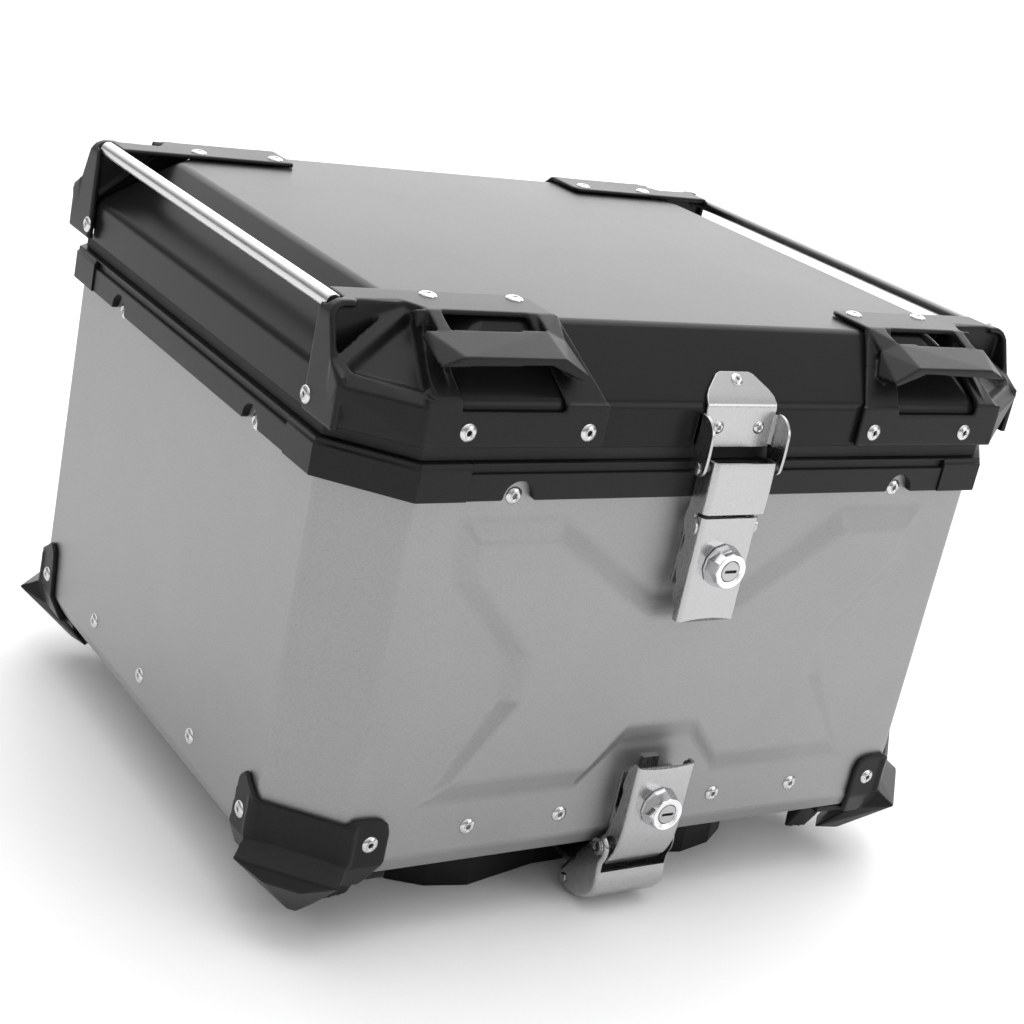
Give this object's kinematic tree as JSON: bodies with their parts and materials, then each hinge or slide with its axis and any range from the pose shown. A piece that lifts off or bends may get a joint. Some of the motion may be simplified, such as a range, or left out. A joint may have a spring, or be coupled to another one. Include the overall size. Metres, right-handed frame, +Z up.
{
  "type": "top case",
  "caption": "Chamfered aluminium motorcycle top case with hinged black lid, corner brackets, side rails, key-locked draw latches and a slide-on mounting plate",
  "frame": {"origin": "centre of the mounting plate's underside, on the face that rests on the rack", "axes": "+X to the right seen from the latch side, -Y towards the latch side (the rear of the motorcycle), +Z up"},
  "size_m": [0.426, 0.387, 0.3082],
  "materials": {
    "silver_sheet": "fine sandblasted anodised sheet, satin silver",
    "black_sheet": "satin black powder coat, grey sheen on the flat top",
    "black_plastic": "moulded black plastic with a fine satin grain",
    "seal_rubber": "matte black sealing rubber",
    "rail_metal": "brushed bright aluminium rod",
    "stainless": "brushed stainless sheet with bright cut edges",
    "steel_pin": "plain bright steel",
    "lock_chrome": "polished chrome with facets",
    "lock_face": "satin steel face with a key slot"
  },
  "bodies": {
    "plate": {"mount_plate": "black_plastic", "plate_striker": "stainless", "plate_bridge_left": "stainless", "plate_bridge_right": "stainless", "plate_bolt_1": "steel_pin", "plate_bolt_2": "steel_pin", "plate_bolt_3": "steel_pin", "plate_bolt_4": "steel_pin"},
    "case": {"body_shell": "silver_sheet", "base_tray": "black_plastic", "rim_band_front": "black_plastic", "rim_band_rear": "black_plastic", "rim_band_left": "black_plastic", "rim_band_right": "black_plastic", "rim_corner_front_left": "black_plastic", "rim_corner_front_right": "black_plastic", "rim_corner_rear_left": "black_plastic", "rim_corner_rear_right": "black_plastic", "rim_seal": "seal_rubber", "foot_front_left": "black_plastic", "foot_front_right": "black_plastic", "foot_rear_left": "black_plastic", "foot_rear_right": "black_plastic", "hinge_body_leaf_left": "black_sheet", "hinge_body_leaf_right": "black_sheet", "hinge_pin_left": "steel_pin", "hinge_pin_right": "steel_pin", "top_latch_base": "stainless", "top_lever_pin": "steel_pin", "bottom_latch_base": "stainless", "bottom_lever_pin": "steel_pin"},
    "lid": {"lid_shell": "black_sheet", "lid_bracket_front_left": "black_plastic", "lid_bracket_front_right": "black_plastic", "lid_bracket_rear_left": "black_plastic", "lid_bracket_rear_right": "black_plastic", "rail_left": "rail_metal", "rail_right": "rail_metal", "hinge_lid_leaf_left": "black_sheet", "hinge_lid_leaf_right": "black_sheet", "latch_keeper": "stainless", "keeper_pin_left": "steel_pin", "keeper_pin_right": "steel_pin"},
    "sleeve": {"latch_sleeve": "stainless"},
    "top_lever": {"top_lever": "stainless", "top_lock_housing": "lock_chrome"},
    "top_key": {"top_lock_plug": "lock_face", "top_lock_cam": "steel_pin"},
    "bottom_lever": {"bottom_lever": "stainless", "bottom_lock_housing": "lock_chrome"},
    "bottom_key": {"bottom_lock_plug": "lock_face", "bottom_lock_cam": "steel_pin"},
    "hook": {"bottom_hook": "stainless", "bottom_hook_pin": "steel_pin"}
  },
  "joints": [
    {"name": "case_release", "type": "slide", "parent": "plate", "child": "case", "axis": [0, -1, 0], "range_m": [0, 0.06]},
    {"name": "lid_hinge", "type": "hinge", "parent": "case", "child": "lid", "pos_m": [0, 0.1845, 0.251], "axis": [-1, 0, 0], "range_deg": [0, 85]},
    {"name": "sleeve_swing", "type": "hinge", "parent": "lid", "child": "sleeve", "pos_m": [0, -0.1835, 0.2465], "axis": [-1, 0, 0], "range_deg": [0, 50]},
    {"name": "top_lever_swing", "type": "hinge", "parent": "case", "child": "top_lever", "pos_m": [0, -0.1825, 0.218], "axis": [-1, 0, 0], "range_deg": [0, 80]},
    {"name": "top_key_turn", "type": "hinge", "parent": "top_lever", "child": "top_key", "pos_m": [0, -0.19, 0.199], "axis": [0, 1, 0], "range_deg": [0, 90]},
    {"name": "bottom_lever_swing", "type": "hinge", "parent": "case", "child": "bottom_lever", "pos_m": [0, -0.1785, 0.039], "axis": [1, 0, 0], "range_deg": [0, 60]},
    {"name": "bottom_key_turn", "type": "hinge", "parent": "bottom_lever", "child": "bottom_key", "pos_m": [0, -0.19, 0.066], "axis": [0, 1, 0], "range_deg": [0, 90]},
    {"name": "hook_swing", "type": "hinge", "parent": "case", "child": "hook", "pos_m": [0, -0.1785, 0.039], "axis": [1, 0, 0], "range_deg": [-12.5, 0.5]}
  ],
  "couplings": [
    {"joint": "hook_swing", "follows": "bottom_lever_swing", "ratio": -0.2}
  ]
}
